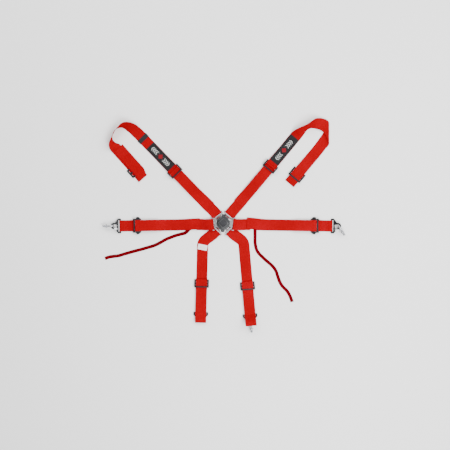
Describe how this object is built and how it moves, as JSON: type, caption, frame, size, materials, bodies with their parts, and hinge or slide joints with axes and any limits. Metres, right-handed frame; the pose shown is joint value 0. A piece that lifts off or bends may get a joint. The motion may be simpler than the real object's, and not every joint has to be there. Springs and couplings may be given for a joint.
{
  "type": "racing harness",
  "caption": "Six-point racing harness laid out flat: rotary cam-lock buckle, shoulder, lap and crotch belts with adjusters, snap hooks and eyebolts.",
  "frame": {"origin": "centre of the buckle's back face, on the surface that the harness lies on", "axes": "+X to the right lap belt, +Y between the shoulder belts, +Z out of the buckle towards the release knob"},
  "size_m": [1.0889, 0.9609, 0.051],
  "materials": {
    "buckle_black": "satin",
    "bright_steel": "bright plated",
    "knob_black": "satin anodised",
    "badge_grey": "brushed",
    "red_webbing": "woven",
    "maroon_tape": "woven",
    "black_fabric": "woven",
    "white_label": "printed cloth",
    "black_steel": "satin black plating"
  },
  "bodies": {
    "buckle": {"buckle_base": "buckle_black", "buckle_cover": "buckle_black", "cover_screws": "bright_steel", "latch_spider": "bright_steel", "knob_spring": "bright_steel", "tongue_lap_right": "bright_steel", "lap_strap_right": "red_webbing"},
    "knob": {"release_knob": "knob_black", "knob_badge": "badge_grey", "spindle": "bright_steel", "cam_plate": "bright_steel"},
    "shoulder_left": {"tongue_shoulder_left": "bright_steel", "shoulder_lower_left": "red_webbing", "shoulder_adjuster_left": "black_steel", "shoulder_bar_left": "bright_steel", "shoulder_turn_left": "red_webbing"},
    "shoulder_left_upper": {"shoulder_upper_left": "red_webbing", "shoulder_patch_left": "black_fabric", "shoulder_band_left": "black_fabric"},
    "shoulder_left_end": {"shoulder_slide_left": "black_steel"},
    "lap_left": {"tongue_lap_left": "bright_steel", "lap_strap_left": "red_webbing"},
    "lap_left_adjuster": {"lap_adjuster_left": "black_steel", "lap_bar_left": "bright_steel", "lap_turn_left": "red_webbing", "lap_anchor_left": "red_webbing"},
    "lap_left_tail": {"lap_tail_left": "red_webbing", "lap_tape_left": "maroon_tape"},
    "crotch_left": {"tongue_crotch_left": "bright_steel", "crotch_strap_left": "red_webbing", "crotch_label_left": "white_label"},
    "crotch_left_slide": {"crotch_slide_left": "black_steel"},
    "hook_lap_left": {"hook_lap_left": "black_steel"},
    "gate_lap_left": {"gate_lap_left": "bright_steel"},
    "eyebolt_lap_left": {"eyebolt_lap_left": "bright_steel"},
    "hook_crotch_left": {"hook_crotch_left": "black_steel"},
    "gate_crotch_left": {"gate_crotch_left": "bright_steel"},
    "shoulder_right": {"tongue_shoulder_right": "bright_steel", "shoulder_lower_right": "red_webbing", "shoulder_adjuster_right": "black_steel", "shoulder_bar_right": "bright_steel", "shoulder_turn_right": "red_webbing"},
    "shoulder_right_upper": {"shoulder_upper_right": "red_webbing", "shoulder_patch_right": "black_fabric"},
    "shoulder_right_end": {"shoulder_slide_right": "black_steel"},
    "lap_right_adjuster": {"lap_adjuster_right": "black_steel", "lap_bar_right": "bright_steel", "lap_turn_right": "red_webbing", "lap_anchor_right": "red_webbing"},
    "lap_right_tail": {"lap_tail_right": "red_webbing", "lap_tape_right": "maroon_tape"},
    "crotch_right": {"tongue_crotch_right": "bright_steel", "crotch_strap_right": "red_webbing"},
    "crotch_right_slide": {"crotch_slide_right": "black_steel"},
    "hook_lap_right": {"hook_lap_right": "black_steel"},
    "gate_lap_right": {"gate_lap_right": "bright_steel"},
    "eyebolt_lap_right": {"eyebolt_lap_right": "bright_steel"},
    "hook_crotch_right": {"hook_crotch_right": "black_steel"},
    "gate_crotch_right": {"gate_crotch_right": "bright_steel"},
    "eyebolt_crotch_right": {"eyebolt_crotch_right": "bright_steel"}
  },
  "joints": [
    {"name": "knob_turn", "type": "hinge", "parent": "buckle", "child": "knob", "pos_m": [0, 0, 0.02], "axis": [0, 0, 1], "range_deg": [-60, 60], "stiffness_Nm_per_rad": 0.12, "deforming": ["knob_spring", "latch_spider"]},
    {"name": "shoulder_tongue_left", "type": "slide", "parent": "buckle", "child": "shoulder_left", "axis": [-0.6157, 0.788, 0], "range_m": [0, 0.02]},
    {"name": "shoulder_adjust_left", "type": "slide", "parent": "shoulder_left", "child": "shoulder_left_upper", "axis": [-0.6947, 0.7193, 0], "range_m": [0, 0.1]},
    {"name": "shoulder_end_slide_left", "type": "slide", "parent": "shoulder_left_upper", "child": "shoulder_left_end", "axis": [-0.6665, 0.7455, 0], "range_m": [-0.018, 0.018]},
    {"name": "lap_tongue_left", "type": "slide", "parent": "buckle", "child": "lap_left", "axis": [-0.9945, -0.1045, 0], "range_m": [0, 0.02]},
    {"name": "lap_adjust_left", "type": "slide", "parent": "lap_left", "child": "lap_left_adjuster", "axis": [-0.9998, -0.0175, 0], "range_m": [0, 0.05]},
    {"name": "lap_tail_left", "type": "slide", "parent": "lap_left_adjuster", "child": "lap_left_tail", "axis": [-0.9998, -0.0175, 0], "range_m": [0, 0.05]},
    {"name": "crotch_tongue_left", "type": "slide", "parent": "buckle", "child": "crotch_left", "axis": [-0.682, -0.7314, 0], "range_m": [0, 0.014]},
    {"name": "crotch_slide_left", "type": "slide", "parent": "crotch_left", "child": "crotch_left_slide", "axis": [-0.0262, -0.9997, 0], "range_m": [0, 0.018]},
    {"name": "hook_lap_left_swing", "type": "hinge", "parent": "lap_left_adjuster", "child": "hook_lap_left", "pos_m": [-0.46267, -0.01226, 0.0039], "axis": [-0.0175, 0.9998, 0], "range_deg": [-90, 85]},
    {"name": "gate_lap_left_open", "type": "hinge", "parent": "hook_lap_left", "child": "gate_lap_left", "pos_m": [-0.4726, -0.02493, 0.01168], "axis": [-0.4273, -0.0075, -0.9041], "range_deg": [0, 30], "stiffness_Nm_per_rad": 0.01, "springref_deg": -22.92},
    {"name": "eyebolt_lap_left_swivel", "type": "hinge", "parent": "hook_lap_left", "child": "eyebolt_lap_left", "pos_m": [-0.4916, -0.01277, 0.01758], "axis": [0, 0, -1], "range_deg": [-60, 60]},
    {"name": "hook_crotch_left_swing", "type": "hinge", "parent": "crotch_left", "child": "hook_crotch_left", "pos_m": [-0.10096, -0.40249, 0.0039], "axis": [-0.9997, 0.0262, 0], "range_deg": [-88, 0]},
    {"name": "gate_crotch_left_open", "type": "hinge", "parent": "hook_crotch_left", "child": "gate_crotch_left", "pos_m": [-0.08879, -0.41538, 0.00627], "axis": [0.0007, 0.0262, -0.9997], "range_deg": [0, 30], "stiffness_Nm_per_rad": 0.01, "springref_deg": -22.92},
    {"name": "shoulder_tongue_right", "type": "slide", "parent": "buckle", "child": "shoulder_right", "axis": [0.6157, 0.788, 0], "range_m": [0, 0.02]},
    {"name": "shoulder_adjust_right", "type": "slide", "parent": "shoulder_right", "child": "shoulder_right_upper", "axis": [0.6428, 0.766, 0], "range_m": [0, 0.1]},
    {"name": "shoulder_end_slide_right", "type": "slide", "parent": "shoulder_right_upper", "child": "shoulder_right_end", "axis": [0.6441, 0.7649, 0], "range_m": [-0.018, 0.018]},
    {"name": "lap_adjust_right", "type": "slide", "parent": "buckle", "child": "lap_right_adjuster", "axis": [0.9998, -0.0175, 0], "range_m": [0, 0.05]},
    {"name": "lap_tail_right", "type": "slide", "parent": "lap_right_adjuster", "child": "lap_right_tail", "axis": [0.9998, -0.0175, 0], "range_m": [0, 0.05]},
    {"name": "crotch_tongue_right", "type": "slide", "parent": "buckle", "child": "crotch_right", "axis": [0.682, -0.7314, 0], "range_m": [0, 0.014]},
    {"name": "crotch_slide_right", "type": "slide", "parent": "crotch_right", "child": "crotch_right_slide", "axis": [0.0872, -0.9962, 0], "range_m": [0, 0.018]},
    {"name": "hook_lap_right_swing", "type": "hinge", "parent": "lap_right_adjuster", "child": "hook_lap_right", "pos_m": [0.48667, -0.01268, 0.0039], "axis": [-0.0175, -0.9998, 0], "range_deg": [-90, 85]},
    {"name": "gate_lap_right_open", "type": "hinge", "parent": "hook_lap_right", "child": "gate_lap_right", "pos_m": [0.4966, -0.02535, 0.01168], "axis": [-0.4273, 0.0075, 0.9041], "range_deg": [0, 30], "stiffness_Nm_per_rad": 0.01, "springref_deg": -22.92},
    {"name": "eyebolt_lap_right_swivel", "type": "hinge", "parent": "hook_lap_right", "child": "eyebolt_lap_right", "pos_m": [0.5156, -0.01318, 0.01758], "axis": [0, 0, 1], "range_deg": [-5, 115]},
    {"name": "hook_crotch_right_swing", "type": "hinge", "parent": "crotch_right", "child": "hook_crotch_right", "pos_m": [0.12023, -0.41121, 0.0039], "axis": [-0.9962, -0.0872, 0], "range_deg": [-90, 0]},
    {"name": "gate_crotch_right_open", "type": "hinge", "parent": "hook_crotch_right", "child": "gate_crotch_right", "pos_m": [0.10866, -0.4224, 0.01168], "axis": [-0.0372, 0.4257, 0.9041], "range_deg": [0, 30], "stiffness_Nm_per_rad": 0.01, "springref_deg": -22.92},
    {"name": "eyebolt_crotch_right_swivel", "type": "hinge", "parent": "hook_crotch_right", "child": "eyebolt_crotch_right", "pos_m": [0.12276, -0.44003, 0.01758], "axis": [0, 0, 1], "range_deg": [-60, 60]}
  ],
  "couplings": [
    {"joint": "lap_tail_left", "follows": "lap_adjust_left", "ratio": 1},
    {"joint": "lap_tail_right", "follows": "lap_adjust_right", "ratio": 1}
  ]
}
